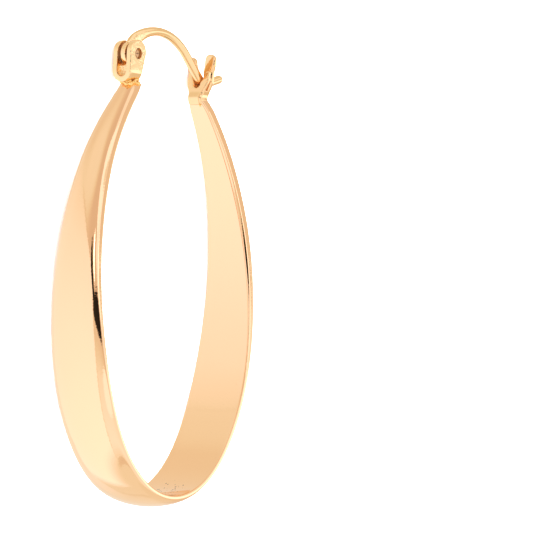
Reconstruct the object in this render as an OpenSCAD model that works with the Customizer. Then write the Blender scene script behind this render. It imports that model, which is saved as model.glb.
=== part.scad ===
// Oval hoop earring with a hinged ear wire, in millimetres.
// The shape is drawn in the hoop's own plane: +X from the hinge to the catch, +Y up the long
// axis from the bottom of the oval, +Z across the band. It is then laid on its side as it rests.

/* [Hoop outline] */
// Half the width of the opening, before the egg shape is added
half_w = 11.5; // [11:0.1:12.5]
// How far the widest place lies below the middle
egg = 1.0; // [0.6:0.1:1.3]
// How much the sides are flattened
flat_side = 0.3; // [0:0.05:0.4]
// Half the height of the full oval that the inner face follows
half_h = 22.5; // [21:0.1:24]
// Height of that oval's centre above the bottom of the hoop
centre_y = 23.6; // [23.5:0.1:24]
// Height of the limb end that carries the hinge
hinge_end_y = 43.1; // [42.8:0.1:43.4]
// Height of the limb end that carries the catch
catch_end_y = 42.25; // [42:0.05:42.6]

/* [Hinge] */
// Width of the bracket over both ears
bracket_w = 2.36; // [2.3:0.02:2.6]
// Thickness of the bracket strip
strip_t = 0.58; // [0.5:0.02:0.6]
// Radius of the round ears
ear_r = 1.28; // [1.2:0.02:1.4]
// Diameter of the rivet holes in the ears
rivet_hole_d = 1.06; // [1.04:0.01:1.1]
// Diameter of the rivet
rivet_d = 1.04; // [1:0.01:1.06]
// How far the rivet ends lie below the ears' faces
rivet_recess = 0.22; // [0.1:0.01:0.3]

/* [Ear wire] */
// Diameter of the wire
wire_d = 0.95; // [0.9:0.01:1]
// Thickness of the wire's flattened end
tongue_t = 0.6; // [0.5:0.02:0.7]
// Radius of the flattened end round the rivet
tongue_r = 1.22; // [1.1:0.02:1.25]
// Running clearance between the rivet and the flattened end, on the radius
rivet_play = 0.04; // [0.02:0.01:0.08]

/* [Catch] */
// Thickness of the catch's sheet
sheet_t = 0.34; // [0.3:0.02:0.4]
// Space between the two folded walls
fold_gap = 0.06; // [0.04:0.01:0.1]
// Width of the catch across its walls
catch_w = 2.76; // [2.6:0.02:2.9]
// Height of the front wall's prongs
low_top_y = 45.6; // [45.4:0.05:45.8]
// Height of the rear wall's rounded lobes
tall_top_y = 46.88; // [46.6:0.02:47]
// Width of the slot that the wire drops through
slot_w = 1.08; // [1.06:0.02:1.2]

/* [Rest] */
// Angle that the limb ends sink by as the wide band lies on its side
rest_tilt = 3.17; // [0:0.01:4]

/* [Hidden] */

gold = "#eac07f";
wire_gold = "#f0c887";

// How the band's section changes along one limb, from the bottom to the top.
// Columns: turn angle, half width, thickness, depth of the widest line, share of the half width that is flat
SECTIONS = [
    [0, 3.52, 1.32, 0.34, 0.92],
    [33, 3.52, 1.28, 0.32, 0.92],
    [66, 3.40, 1.62, 0.45, 0.90],
    [94, 2.68, 2.05, 0.80, 0.86],
    [118, 1.92, 1.82, 0.92, 0.76],
    [142, 1.10, 1.42, 0.72, 0.66],
    [152, 0.76, 1.36, 0.60, 0.64],
];
// Stations round the band, and steps on the rim's corner and on half the dome
band_steps = 112;
corner_steps = 4;
dome_steps = 7;
// Turn angle where the sections begin to swing level with the cut ends
swing_from = 118;

// Turn angle at which a limb reaches a height
function turn_at(y) = acos((centre_y - y) / half_h);
hinge_end = turn_at(hinge_end_y);
catch_end = turn_at(catch_end_y);

function inner_x(t) = half_w * sin(t) + egg * sin(2 * t) - flat_side * sin(3 * t);
function inner_y(t) = centre_y - half_h * cos(t);
// Angle of the outward normal above level, on the catch side
function normal_angle(t) =
    atan2(-(half_w * cos(t) + 2 * egg * cos(2 * t) - 3 * flat_side * cos(3 * t)), half_h * sin(t));

// Value of one column of SECTIONS at a turn angle, on a smooth curve through the rows
function row_slope(i, c) =
    i == 0 ? 0 :
    let (a = SECTIONS[i - 1], b = SECTIONS[min(i + 1, len(SECTIONS) - 1)])
    (b[c] - a[c]) / (b[0] - a[0]);
function blend(i, c, t) =
    let (a = SECTIONS[i], b = SECTIONS[i + 1], span = b[0] - a[0], s = (t - a[0]) / span)
    a[c] * (1 + 2 * s) * (1 - s) * (1 - s) + row_slope(i, c) * span * s * (1 - s) * (1 - s)
    + b[c] * s * s * (3 - 2 * s) - row_slope(i + 1, c) * span * s * s * (1 - s);
function row_of(t, i = 0) = (i >= len(SECTIONS) - 2 || t <= SECTIONS[i + 1][0]) ? i : row_of(t, i + 1);
function section(c, t) = blend(row_of(t), c, t);

// One ring of the band's section: depth outwards from the inner face, and place across the band
function half_ring(t) =
    let (b = section(1, t), thick = section(2, t), rim = section(3, t), flat = b * section(4, t))
    concat(
        [for (i = [0:corner_steps]) let (a = 90 * i / corner_steps)
            [rim * (1 - cos(a)), flat + (b - flat) * sin(a)]],
        [for (i = [1:dome_steps]) let (a = 90 * i / dome_steps)
            [rim + (thick - rim) * sin(a), b * cos(a)]]);
function ring(t) =
    let (h = half_ring(t), n = len(h))
    concat(h, [for (i = [n - 2:-1:0]) [h[i][0], -h[i][1]]]);
// The same ring in space: a is the turn angle with its sign, negative on the hinge side
function placed_ring(a) =
    let (
        side = a < 0 ? -1 : 1,
        t = abs(a),
        end = side < 0 ? hinge_end : catch_end,
        lean = normal_angle(t),
        level = t <= swing_from ? 0 : pow((t - swing_from) / (end - swing_from), 2),
        dir = lean * (1 - level),
        stretch = 1 / cos(lean - dir))
    [for (p = ring(t))
        [side * (inner_x(t) + p[0] * stretch * cos(dir)), inner_y(t) + p[0] * stretch * sin(dir), p[1]]];
band_rings = [for (i = [0:band_steps]) placed_ring(-hinge_end + (hinge_end + catch_end) * i / band_steps)];

// Centre of the rivet, and of the ears' round heads a little above it
pivot = [-5.40, 46.15];
head = [-5.43, 46.27];
// Outside of the bracket's bend, the centre of the bend and the top of its ears
bracket_foot_y = 43.17;
bend_y = bracket_foot_y + bracket_w / 2;
ear_top_y = head[1] + ear_r;
// Edge of the bracket's foot on the side of the opening, from the heads' centre
foot_right = 0.72;

// Middle of the folded catch, and the outside and centre of its fold
catch_x = 6.25;
catch_foot_y = 42.4;
fold_r = sheet_t + fold_gap / 2;
fold_y = catch_foot_y + fold_r;
// Half the width of the catch's foot, and the centre height and radius of the notch's round end
foot_half = 0.8;
notch_y = 43.87;
key_r = 0.45;
// Half outline of the catch's body. Columns: place across the band, height
BODY = [
    [foot_half, catch_foot_y - 0.1],
    [foot_half + 0.04, 42.7],
    [1.02, 43.1],
    [1.22, 43.5],
    [catch_w / 2 - 0.04, 43.95],
    [catch_w / 2, 44.4],
    [catch_w / 2, low_top_y],
];
// Half of the front wall's wide mouth, from the notch upwards
MOUTH = [
    [key_r, 44.0],
    [0.74, 44.36],
    [1.02, 44.9],
    [1.14, low_top_y + 0.2],
];
// One lobe of the rear wall below its round tip, and the tip's centre across the band and radius
LOBE = [
    [slot_w / 2, 45.3],
    [catch_w / 2, 45.3],
    [catch_w / 2 + 0.01, 45.65],
    [1.56, 46.25],
    [1.62, 46.45],
    [0.89, 46.6],
    [0.66, 46.2],
    [slot_w / 2, 45.8],
];
tip_x = 1.25;
tip_r = 0.38;

// Where the round wire leaves the flattened end, its heading there, and its steps to the free end.
// Columns: radius of a bend or length of a straight, angle turned (left is positive)
wire_start = [-5.75, 46.92];
wire_heading = 62;
WIRE_STEPS = [
    [2.4, -37],
    [8.4, -25],
    [6.7, -45],
    [3.44, 0],
    [1.35, 62],
    [2.0, 0],
];

// Angle between rings in a bend, sides of the wire, rings over which it goes from flat to round,
// half the flat end's width and thickness where it starts inside the tongue, and rings on the round tip
wire_turn_step = 6;
wire_sides = 20;
flat_rings = 7;
flat_half = 0.52;
flat_over = tongue_t / 2 - 0.06;
tip_rings = 4;

// End of one step of the ear wire: a bend through an angle, or a straight where the angle is 0
function step_end(p, h, s) =
    s[1] == 0 ? p + s[0] * [cos(h), sin(h)] :
    let (r = s[0] * sign(s[1]))
    p + r * [sin(h + s[1]) - sin(h), cos(h) - cos(h + s[1])];
// Places along the wire, as [x, y, heading], from a step's start to the free end
function wire_path(p, h, i = 0) =
    let (s = WIRE_STEPS[i], n = s[1] == 0 ? 2 : ceil(abs(s[1]) / wire_turn_step), last = i == len(WIRE_STEPS) - 1)
    concat(
        [[p[0], p[1], h]],
        [for (k = [1:1:last ? n : n - 1])
            let (q = step_end(p, h, s[1] == 0 ? [s[0] * k / n, 0] : [s[0], s[1] * k / n]))
            [q[0], q[1], h + s[1] * k / n]],
        last ? [] : wire_path(step_end(p, h, s), h + s[1], i + 1));
wire_places = wire_path(wire_start, wire_heading);

// Middle of the whole length along Y once laid down, and the height that brings the rims to the floor
band_points = [for (r = band_rings) each r];
laid_bottom = min([for (p = band_points) p[1] * cos(rest_tilt) + p[2] * sin(rest_tilt)]);
laid_top = max([for (q = wire_places) q[1]]) * cos(rest_tilt) + wire_d / 2;
middle_y = (laid_bottom + laid_top) / 2;
rest_z = -min([for (p = band_points) p[2] * cos(rest_tilt) - p[1] * sin(rest_tilt)]);

// Closed skin through a row of rings
module sweep(rings) {
    n = len(rings[0]);
    m = len(rings);
    points = [for (r = rings) each r];
    sides = [for (i = [0:m - 2], j = [0:n - 1])
        let (a = i * n + j, b = i * n + (j + 1) % n)
        each [[a, a + n, b], [b, a + n, b + n]]];
    first = [for (j = [0:n - 1]) j];
    last = [for (j = [n - 1:-1:0]) (m - 1) * n + j];
    polyhedron(points, concat(sides, [first, last]), convexity = 6);
}

// A flat outline that is drawn with X across the band and Y up the hoop, given depth from x0 to x1
module across(x0, x1) {
    translate([x0, 0, 0]) rotate([0, 90, 0]) linear_extrude(x1 - x0) children();
}
// Outline with both halves from the table of one half
module mirrored(half) {
    n = len(half);
    polygon(concat(half, [for (i = [n - 1:-1:0]) [-half[i][0], half[i][1]]]));
}

// Hinge bracket: the U across the band, cut to the ears' outline
module bracket_u() {
    r = bracket_w / 2;
    difference() {
        union() {
            translate([0, bend_y]) circle(r = r, $fn = 64);
            translate([-r, bend_y]) square([bracket_w, ear_top_y - bend_y]);
        }
        translate([0, bend_y]) circle(r = r - strip_t, $fn = 64);
        translate([strip_t - r, bend_y]) square([bracket_w - 2 * strip_t, ear_top_y - bend_y + 1]);
    }
}
module ear_outline() {
    translate(head) circle(r = ear_r, $fn = 64);
    polygon([
        [head[0] - ear_r, head[1]],
        [head[0] - ear_r - 0.04, bracket_foot_y + 1],
        [head[0] - ear_r + 0.1, bracket_foot_y - 0.1],
        [head[0] + foot_right - 0.1, bracket_foot_y - 0.1],
        [head[0] + foot_right, bracket_foot_y + 0.9],
        [head[0] + ear_r * cos(25), head[1] - ear_r * sin(25)],
    ]);
}
module hinge_bracket() {
    difference() {
        intersection() {
            across(head[0] - 2 * ear_r, head[0] + 2 * ear_r) bracket_u();
            translate([0, 0, -bracket_w]) linear_extrude(2 * bracket_w) ear_outline();
        }
        translate([pivot[0], pivot[1], -bracket_w]) cylinder(d = rivet_hole_d, h = 2 * bracket_w, $fn = 48);
    }
}

// Catch: a sheet folded along the hoop's plane, cut to each wall's outline
module folded_sheet() {
    difference() {
        union() {
            translate([catch_x, fold_y]) circle(r = fold_r, $fn = 48);
            translate([catch_x - fold_r, fold_y]) square([2 * fold_r, tall_top_y - fold_y]);
        }
        translate([catch_x, fold_y]) circle(r = fold_gap / 2, $fn = 48);
        translate([catch_x - fold_gap / 2, fold_y]) square([fold_gap, tall_top_y]);
    }
}
// The round end of the notch with a straight slot above it
module slot(r, top_y) {
    translate([0, notch_y]) circle(r = r, $fn = 48);
    translate([-slot_w / 2, notch_y + slot_w - 2 * r]) square([slot_w, top_y - notch_y]);
}
module front_outline() {
    difference() {
        mirrored(BODY);
        slot(key_r, low_top_y);
        mirrored(MOUTH);
    }
}
module rear_outline() {
    difference() {
        union() {
            mirrored(BODY);
            for (s = [-1, 1]) {
                translate([s * tip_x, tall_top_y - tip_r]) circle(r = tip_r, $fn = 48);
                polygon([for (p = LOBE) [s * p[0], p[1]]]);
            }
        }
        slot(slot_w / 2, tall_top_y);
    }
}
module catch() {
    intersection() {
        translate([0, 0, -catch_w]) linear_extrude(2 * catch_w) folded_sheet();
        union() {
            across(catch_x - 2 * fold_r, catch_x) front_outline();
            across(catch_x, catch_x + 2 * fold_r) rear_outline();
        }
    }
}

// Solder that fills the space between a limb's cut end and the piece on it
module solder(x0, x1, y0, y1, half) {
    translate([x0, y0, -half]) cube([x1 - x0, y1 - y0, 2 * half]);
}

// A ring of the wire: half its size in the hoop's plane and across it
function wire_ring(q, in_plane, over) =
    [for (k = [0:wire_sides - 1]) let (a = 360 * k / wire_sides)
        [q[0] - in_plane * cos(a) * sin(q[2]), q[1] + in_plane * cos(a) * cos(q[2]), over * sin(a)]];
module round_wire() {
    r = wire_d / 2;
    last = wire_places[len(wire_places) - 1];
    body = [for (i = [0:len(wire_places) - 1])
        let (f = min(i / flat_rings, 1), soft = f * f * (3 - 2 * f))
        wire_ring(wire_places[i], flat_half + (r - flat_half) * soft, flat_over + (r - flat_over) * soft)];
    tip = [for (i = [1:tip_rings]) let (a = 80 * i / tip_rings)
        wire_ring([last[0] + r * sin(a) * cos(last[2]), last[1] + r * sin(a) * sin(last[2]), last[2]],
            r * cos(a), r * cos(a))];
    sweep(concat(body, tip));
}

module laid() {
    translate([0, -middle_y, rest_z]) rotate([-rest_tilt, 0, 0]) children();
}

module hoop() {
    color(gold) laid() {
        sweep(band_rings);
        hinge_bracket();
        catch();
        solder(head[0] - 0.72, head[0] + 0.58, hinge_end_y - 0.25, bracket_foot_y + 0.35, 0.72);
        solder(catch_x - 0.45, catch_x + 0.4, catch_end_y - 0.25, catch_foot_y + 0.25, foot_half - 0.06);
    }
}
module rivet() {
    half = bracket_w / 2 - rivet_recess;
    color(gold) laid() translate([pivot[0], pivot[1], -half]) cylinder(d = rivet_d, h = 2 * half, $fn = 48);
}
module ear_wire() {
    color(wire_gold) laid() {
        translate([pivot[0], pivot[1], 0]) difference() {
            cylinder(r = tongue_r, h = tongue_t, center = true, $fn = 64);
            cylinder(d = rivet_d + 2 * rivet_play, h = 2 * tongue_t, center = true, $fn = 48);
        }
        round_wire();
    }
}

hoop();
rivet();
ear_wire();
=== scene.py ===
# %% [markdown]
# # A polished hoop earring
#
# The real earring is a band of brass bent to a tall oval, flat inside and domed outside. A small bracket
# with a riveted ear wire is soldered on one end, and a folded sheet catch on the other. It is then polished
# and gold-plated as a whole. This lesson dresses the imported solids: each piece is modelled again with soft
# edges, because a mirror finish shows every facet.

# %% Load the frame
import math
import random

import bmesh
import bpy
from mathutils import Matrix, Vector


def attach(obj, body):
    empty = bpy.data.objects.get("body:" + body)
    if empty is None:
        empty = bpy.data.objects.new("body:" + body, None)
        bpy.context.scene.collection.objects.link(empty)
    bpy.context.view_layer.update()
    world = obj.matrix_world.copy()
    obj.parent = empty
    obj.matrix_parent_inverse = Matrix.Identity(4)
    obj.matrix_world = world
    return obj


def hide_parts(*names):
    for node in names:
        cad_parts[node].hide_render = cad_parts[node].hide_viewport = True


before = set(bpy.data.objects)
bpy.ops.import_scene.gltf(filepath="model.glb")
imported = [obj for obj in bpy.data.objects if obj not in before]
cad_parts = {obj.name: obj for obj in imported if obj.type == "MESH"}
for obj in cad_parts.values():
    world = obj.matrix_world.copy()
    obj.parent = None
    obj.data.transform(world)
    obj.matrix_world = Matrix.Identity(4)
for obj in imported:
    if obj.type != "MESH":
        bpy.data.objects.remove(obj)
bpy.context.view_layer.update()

# %% [markdown]
# ## Drawing flat, then laying down
#
# It is easiest to draw the hoop in its own plane, in millimetres: X from the hinge to the catch, Y up the
# long axis, Z across the band. The finished earring lies on its side and its narrow ends sink a little, so
# each finished piece is turned by that angle, moved, and scaled to metres. The transform is then applied,
# so every object ends at the origin with its place in its mesh.

# %% From the drawing to the floor
# The angle at rest, the middle of the length, and how high the drawing's plane lies
REST_TILT = math.radians(3.17)
MIDDLE_Y = 24.4595
REST_Z = 4.2048
LAY = (Matrix.Scale(0.001, 4) @ Matrix.Translation((0, -MIDDLE_Y, REST_Z))
       @ Matrix.Rotation(-REST_TILT, 4, "X"))


def deselect():
    bpy.ops.object.select_all(action="DESELECT")


def only(piece):
    deselect()
    piece.select_set(True)
    bpy.context.view_layer.objects.active = piece


def lay_down(piece):
    only(piece)
    piece.matrix_world = LAY @ piece.matrix_world
    bpy.ops.object.transform_apply(location=True, rotation=True, scale=True)


def apply_modifier(piece, kind, **settings):
    only(piece)
    bpy.ops.object.modifier_add(type=kind)
    modifier = piece.modifiers[-1]
    for key, value in settings.items():
        setattr(modifier, key, value)
    bpy.ops.object.modifier_apply(modifier=modifier.name)


def tidy_normals(piece):
    only(piece)
    bpy.ops.object.mode_set(mode="EDIT")
    bpy.ops.mesh.select_all(action="SELECT")
    bpy.ops.mesh.remove_doubles(threshold=1e-5)
    bpy.ops.mesh.normals_make_consistent(inside=False)
    bpy.ops.object.mode_set(mode="OBJECT")


def triangles(piece):
    return sum(len(f.vertices) - 2 for f in piece.data.polygons)


print("the ends sink by", round(math.degrees(REST_TILT), 2), "degrees")

# %% [markdown]
# ## The band
#
# On the real earring the band is one strip whose section changes all the way: wide and thin at the bottom,
# narrow and deep near the ends. A curve with a taper can only scale one section, so the section is drawn
# as a ring of points and extruded from station to station, and each new ring is set to its own width,
# depth and angle. A subdivision surface then makes it smooth enough to mirror.

# %% The oval and the changing section
# Half the inside width, and how much it swells low down, flattens at the sides and squares at the shoulders
HALF_W, EGG, FLAT_SIDE, SHOULDER = 11.66, 0.944, 0.261, 0.153
HALF_H, CENTRE_Y = 22.5, 23.6
HINGE_END_Y, CATCH_END_Y = 43.1, 42.25
# Past this turn angle the rings swing level, so that both ends are cut level
SWING_FROM = 118
# Columns: turn angle, half width, thickness, depth of the rounded inner edge, depth of the flat rim beside
# it, share of the half width that is flat inside, fullness of the dome (1 is an oval, more is leaner)
SECTIONS = [
    (0, 3.52, 1.32, 0.14, 0.24, 0.94, 1.10),
    (33, 3.52, 1.28, 0.14, 0.24, 0.94, 1.10),
    (66, 3.46, 1.62, 0.18, 0.28, 0.93, 1.10),
    (94, 2.71, 2.05, 0.30, 0.40, 0.87, 1.02),
    (118, 1.92, 1.85, 0.34, 0.46, 0.78, 1.0),
    (142, 1.18, 1.50, 0.26, 0.50, 0.74, 1.0),
    (152, 0.90, 1.46, 0.24, 0.50, 0.72, 1.0),
]


def sin(a):
    return math.sin(math.radians(a))


def cos(a):
    return math.cos(math.radians(a))


def turn_at(y):
    """The turn angle, counted from the bottom, where the inside of the band is at height y."""
    return math.degrees(math.acos((CENTRE_Y - y) / HALF_H))


def inner_x(t):
    return HALF_W * sin(t) + EGG * sin(2 * t) - FLAT_SIDE * sin(3 * t) + SHOULDER * sin(4 * t)


def inner_y(t):
    return CENTRE_Y - HALF_H * cos(t)


def normal_angle(t):
    run = HALF_W * cos(t) + 2 * EGG * cos(2 * t) - 3 * FLAT_SIDE * cos(3 * t) + 4 * SHOULDER * cos(4 * t)
    return math.degrees(math.atan2(-run, HALF_H * sin(t)))


def through_rows(t, c):
    """Column c of the sections at a turn angle, on a smooth curve through the rows."""
    t = abs(t)
    i = max(k for k in range(len(SECTIONS) - 1) if k == 0 or t > SECTIONS[k][0])

    def slope(k):
        if k == 0:
            return 0
        a, b = SECTIONS[k - 1], SECTIONS[min(k + 1, len(SECTIONS) - 1)]
        return (b[c] - a[c]) / (b[0] - a[0])

    a, b = SECTIONS[i], SECTIONS[i + 1]
    span = b[0] - a[0]
    s = (t - a[0]) / span
    return (a[c] * (1 + 2 * s) * (1 - s) ** 2 + slope(i) * span * s * (1 - s) ** 2
            + b[c] * s * s * (3 - 2 * s) - slope(i + 1) * span * s * s * (1 - s))


def section(t):
    """Width, thickness and the rest at a turn angle, averaged over a few degrees so that no kink shows."""
    shares = [(k, 1 + math.cos(math.pi * k / 4)) for k in range(-3, 4)]
    whole = sum(w for k, w in shares)
    return [sum(w * through_rows(t + 2 * k, c) for k, w in shares) / whole for c in range(1, 7)]


print("half width and thickness at the bottom:", [round(v, 2) for v in section(0)[:2]])

# %% Rings of the band
CORNER_STEPS, DOME_STEPS, FACE_POINTS = 4, 9, 5
# The dome has its points closer together near the rim, where it curves most
CROWDING = 1.25
# The hinge end is bent in and left thicker between two turn angles
BENT_IN, LEFT_THICKER, BENT_FROM, BENT_TO = 0.34, 0.2, 118, 150
# Both ends are filed narrower for soldering, over a few degrees. Pairs: share taken off, shift across
FILED_OVER = 5
FILED_HINGE_END, FILED_CATCH_END = (0.1, 0.12), (0.2, 0.0)


def ring_points(t, shrink=0.0):
    """Depth outwards and place across, round the section; shrink draws the ring in for a soft cut end."""
    half, thick, corner, land, share, lean = section(t)
    flat, rim = half * share, corner + land
    side = [(corner * (1 - math.cos(a)), flat + (half - flat) * math.sin(a))
            for a in (math.pi / 2 * i / CORNER_STEPS for i in range(CORNER_STEPS + 1))]
    side += [(corner + 0.5 * land, half)]
    side += [(rim + (thick - rim) * math.sin(a) ** lean, half * max(math.cos(a), 0) ** lean)
             for a in (math.pi / 2 * (i / DOME_STEPS) ** CROWDING for i in range(DOME_STEPS + 1))]
    face = [(0.0, -flat + 2 * flat * i / (FACE_POINTS + 1)) for i in range(1, FACE_POINTS + 1)]
    points = face + side + [(d, -z) for d, z in reversed(side[:-1])]
    middle = thick / 2
    return [(middle + (d - middle) * (1 - shrink / middle), z * (1 - shrink / half)) for d, z in points]


def gently(f):
    """0 below 0, 1 above 1, and a smooth rise between them."""
    f = min(max(f, 0), 1)
    return f * f * (3 - 2 * f)


def placed_ring(a, push=0.0, shrink=0.0):
    """A ring at a turn angle, negative on the hinge side, and pushed on along the hoop by push."""
    side, t = (-1 if a < 0 else 1), abs(a)
    end = turn_at(HINGE_END_Y if side < 0 else CATCH_END_Y)
    lean = normal_angle(t)
    level = 0 if t <= SWING_FROM else ((t - SWING_FROM) / (end - SWING_FROM)) ** 2
    turn = lean * (1 - level)
    stretch = 1 / cos(lean - turn)
    bent = gently((t - BENT_FROM) / (BENT_TO - BENT_FROM)) if side < 0 else 0
    filed = gently((t - end + FILED_OVER) / FILED_OVER)
    narrower, aside = FILED_HINGE_END if side < 0 else FILED_CATCH_END
    thick = section(t)[1]
    ring = []
    for d, z in ring_points(t, shrink):
        reach = (d - LEFT_THICKER * bent * (1 - d / thick)) * stretch
        ring.append(Vector((side * (inner_x(t) - BENT_IN * bent + reach * cos(turn)),
                            inner_y(t) + d * stretch * sin(turn) + push,
                            z * (1 - narrower * filed) - aside * filed)))
    return ring


STATIONS = 118
# One more ring lies close to each end, and closing rings round the end off. Pairs: push on, shrink
NEAR_END = 0.25
HINGE_CLOSING = ((0.06, 0.30), (0.05, 0.10))
CATCH_CLOSING = ((0.12, 0.07), (0.22, 0.2), (0.26, 0.4))
hinge_end, catch_end = -turn_at(HINGE_END_Y), turn_at(CATCH_END_Y)
turns = [hinge_end + (catch_end - hinge_end) * i / STATIONS for i in range(STATIONS + 1)]
turns[1:1] = [hinge_end + NEAR_END]
turns[-1:-1] = [catch_end - NEAR_END]
band_rings = [placed_ring(hinge_end, *closing) for closing in HINGE_CLOSING]
band_rings += [placed_ring(a) for a in turns]
band_rings += [placed_ring(catch_end, *closing) for closing in CATCH_CLOSING]
print(len(band_rings), "rings of", len(band_rings[0]), "points")


# %% Extrude a ring from station to station
def extruded_skin(name, rings):
    """Extrude the first ring of points to each of the next, and close both ends."""
    deselect()
    bpy.ops.mesh.primitive_circle_add(vertices=len(rings[0]), radius=1)
    piece = bpy.context.object
    piece.name = piece.data.name = name
    bpy.ops.object.mode_set(mode="EDIT")
    mesh = bmesh.from_edit_mesh(piece.data)
    for corner, place in zip(mesh.verts, rings[0]):
        corner.co = place
    bpy.ops.mesh.select_all(action="SELECT")
    for ring in rings[1:]:
        bpy.ops.mesh.extrude_edges_move()
        mesh = bmesh.from_edit_mesh(piece.data)
        for corner, place in zip([v for v in mesh.verts if v.select], ring):
            corner.co = place
    bmesh.update_edit_mesh(piece.data)
    bpy.ops.mesh.select_all(action="SELECT")
    bpy.ops.mesh.fill_holes(sides=0)
    bpy.ops.mesh.normals_make_consistent(inside=False)
    bpy.ops.object.mode_set(mode="OBJECT")
    return piece


band = extruded_skin("band", band_rings)
apply_modifier(band, "SUBSURF", levels=2, render_levels=2)
only(band)
bpy.ops.object.shade_smooth()
print("band:", triangles(band), "triangles")

# %% [markdown]
# ## Small soldered pieces
#
# The bracket and the catch are cut from sheet, bent, soldered and plated, and plating rounds every edge. A
# bevel stumbles where cuts meet, so the pieces are cut with booleans, joined, and then remeshed with small
# voxels and smoothed. That gives the soft, slightly swollen edges of plated metal.

# %% Plates, cuts and soft edges
def plate(name, outline, low, high, plane):
    """A flat plate from an outline. plane "xy" gives it depth along Z, plane "zy" along X."""
    deselect()
    bpy.ops.mesh.primitive_circle_add(vertices=len(outline), radius=1, fill_type="NGON")
    piece = bpy.context.object
    piece.name = name
    bpy.ops.object.mode_set(mode="EDIT")
    mesh = bmesh.from_edit_mesh(piece.data)
    for corner, (a, b) in zip(mesh.verts, outline):
        corner.co = (a, b, low) if plane == "xy" else (low, b, a)
    bmesh.update_edit_mesh(piece.data)
    bpy.ops.mesh.select_all(action="SELECT")
    along = (0, 0, high - low) if plane == "xy" else (high - low, 0, 0)
    bpy.ops.mesh.extrude_region_move(TRANSFORM_OT_translate={"value": along})
    bpy.ops.mesh.select_all(action="SELECT")
    bpy.ops.mesh.normals_make_consistent(inside=False)
    bpy.ops.object.mode_set(mode="OBJECT")
    return piece


def cut(piece, tool, how="DIFFERENCE"):
    apply_modifier(piece, "BOOLEAN", operation=how, object=tool, solver="EXACT")
    bpy.data.objects.remove(tool, do_unlink=True)


def drum(name, place, radius, length, axis, sides=64):
    deselect()
    turn = {"x": (0, math.pi / 2, 0), "z": (0, 0, 0)}[axis]
    bpy.ops.mesh.primitive_cylinder_add(vertices=sides, radius=radius, depth=length, location=place,
                                        rotation=turn)
    piece = bpy.context.object
    piece.name = name
    bpy.ops.object.transform_apply(location=True, rotation=True, scale=True)
    return piece


def arc(centre, radius, start, stop, steps):
    return [(centre[0] + radius * cos(start + (stop - start) * i / steps),
             centre[1] + radius * sin(start + (stop - start) * i / steps)) for i in range(steps + 1)]


def soften(piece, voxel, rounds):
    apply_modifier(piece, "REMESH", mode="VOXEL", voxel_size=voxel, use_smooth_shade=True)
    apply_modifier(piece, "SMOOTH", factor=0.5, iterations=rounds)
    only(piece)
    bpy.ops.object.shade_smooth()


def join(pieces, name):
    deselect()
    for one in pieces:
        one.select_set(True)
    bpy.context.view_layer.objects.active = pieces[0]
    bpy.ops.object.join()
    pieces[0].name = pieces[0].data.name = name
    return pieces[0]


print("a quarter circle in 2 steps:", [(round(a, 2), round(b, 2)) for a, b in arc((0, 0), 1, 0, 90, 2)])

# %% [markdown]
# ## The hinge bracket
#
# This is a strip bent to a U, with round ears that carry the rivet. Its cross-section is a small plane, spun
# half a turn for the bend. Both ends are then extruded up for the legs, and the outline of the ears is cut
# from the side, as a punch would cut it.

# %% Bend the strip and cut the ears
PIVOT, HEAD = (-5.40, 46.15), (-5.43, 46.27)
BRACKET_W, STRIP_T, EAR_R, HOLE_R = 2.36, 0.58, 1.28, 0.53
# The strip starts wider than the ears, because the punch trims it
STRIP_W, BEND_STEPS = 3.2, 28
FOOT_Y, FOOT_RIGHT = 43.17, 0.72
BEND_Y = FOOT_Y + BRACKET_W / 2
leg = BRACKET_W / 2 - STRIP_T / 2
deselect()
bpy.ops.mesh.primitive_plane_add(size=1, location=(HEAD[0], BEND_Y, leg), rotation=(math.pi / 2, 0, 0))
bracket = bpy.context.object
bpy.ops.object.mode_set(mode="EDIT")
bpy.ops.transform.resize(value=(STRIP_W, 1, STRIP_T))
bpy.ops.mesh.spin(steps=BEND_STEPS, angle=math.pi, center=(HEAD[0], BEND_Y, 0), axis=(-1, 0, 0))
bpy.ops.object.mode_set(mode="OBJECT")
bpy.ops.object.transform_apply(location=True, rotation=True, scale=True)
# Each open end of the bend is picked by its place and extruded up
for side in (-1, 1):
    bpy.ops.object.mode_set(mode="EDIT")
    bpy.ops.mesh.select_mode(type="VERT")
    bpy.ops.mesh.select_all(action="DESELECT")
    mesh = bmesh.from_edit_mesh(bracket.data)
    for corner in mesh.verts:
        corner.select = abs(corner.co.y - BEND_Y) < 1e-4 and corner.co.z * side > 0.1
    mesh.select_flush_mode()
    bmesh.update_edit_mesh(bracket.data)
    bpy.ops.mesh.extrude_region_move(TRANSFORM_OT_translate={"value": (0, HEAD[1] + EAR_R - BEND_Y, 0)})
    bpy.ops.object.mode_set(mode="OBJECT")
bpy.ops.object.mode_set(mode="EDIT")
bpy.ops.mesh.select_all(action="SELECT")
bpy.ops.mesh.fill_holes(sides=0)
bpy.ops.object.mode_set(mode="OBJECT")
tidy_normals(bracket)

# The round head runs over into straight sides, which narrow to the foot
ear_outline = arc(HEAD, EAR_R, -25, 180, 40) + [
    (HEAD[0] - EAR_R - 0.04, FOOT_Y + 1), (HEAD[0] - EAR_R + 0.1, FOOT_Y - 0.1),
    (HEAD[0] + FOOT_RIGHT - 0.1, FOOT_Y - 0.1), (HEAD[0] + FOOT_RIGHT, FOOT_Y + 0.9)]
cut(bracket, plate("ear_punch", ear_outline, -2, 2, "xy"), "INTERSECT")
cut(bracket, drum("rivet_hole", (PIVOT[0], PIVOT[1], 0), HOLE_R, 4, "z"))
bracket.name = bracket.data.name = "hinge_bracket"
soften(bracket, voxel=0.036, rounds=26)
print("hinge bracket:", triangles(bracket), "triangles")

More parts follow.
